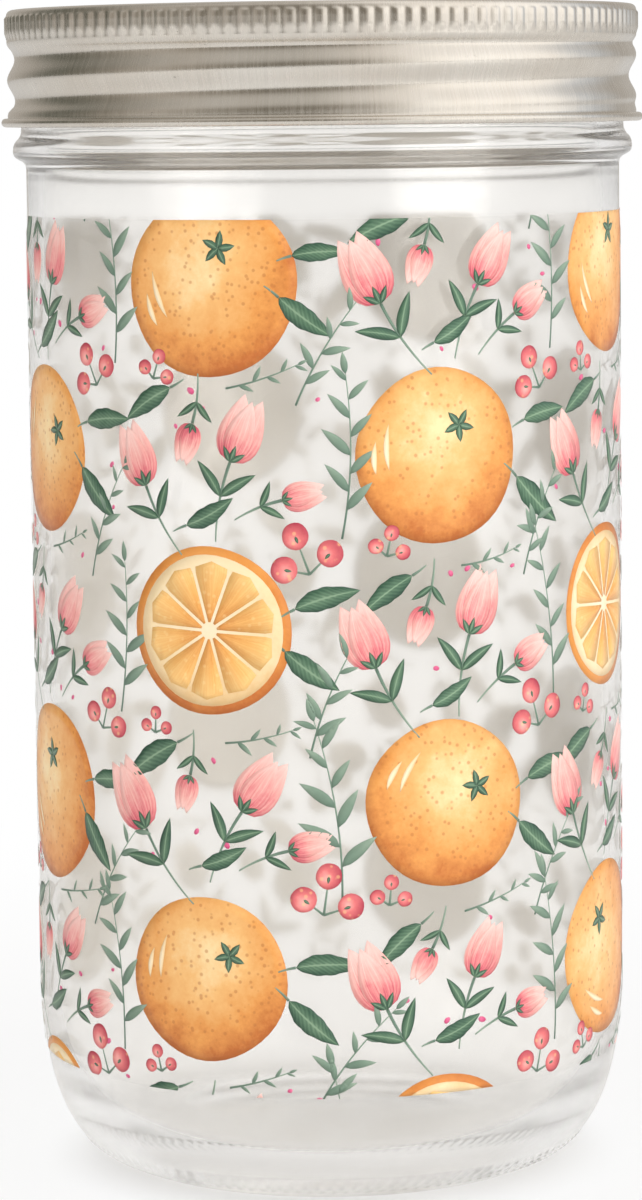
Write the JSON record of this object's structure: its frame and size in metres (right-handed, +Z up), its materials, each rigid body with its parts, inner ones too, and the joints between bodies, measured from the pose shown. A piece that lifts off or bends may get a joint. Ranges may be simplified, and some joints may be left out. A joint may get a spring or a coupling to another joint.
{
  "type": "starter jar with screw lid",
  "caption": "Straight-sided glass starter jar with a printed band, closed by a flat sealed disc and a knurled screw band.",
  "frame": {"origin": "centre of the foot, on the surface that the jar stands on", "axes": "+Z up along the jar's axis, -Y towards the front"},
  "size_m": [0.089, 0.089, 0.1615],
  "materials": {
    "clear_glass": "clear pressed soda-lime glass, fire polished",
    "printed_film": "clear transfer film printed with a fruit and flower pattern",
    "disc_steel": "satin tinplate",
    "seal_compound": "smooth soft sealing compound",
    "band_steel": "satin brushed tinplate with knurled grip"
  },
  "bodies": {
    "jar": {"glass_jar": "clear_glass", "print_wrap": "printed_film"},
    "disc": {"lid_disc": "disc_steel", "sealing_ring": "seal_compound"},
    "band": {"screw_band": "band_steel"}
  },
  "joints": [
    {"name": "lid_lift", "type": "slide", "parent": "jar", "child": "disc", "axis": [0, 0, 1], "range_m": [0, 0.02]},
    {"name": "band_turn", "type": "hinge", "parent": "disc", "child": "band", "pos_m": [0, 0, 0.155], "axis": [0, 0, 1], "range_deg": [0, 1260]}
  ],
  "couplings": [
    {"joint": "lid_lift", "follows": "band_turn", "m_per_rad": 0.00090718}
  ]
}
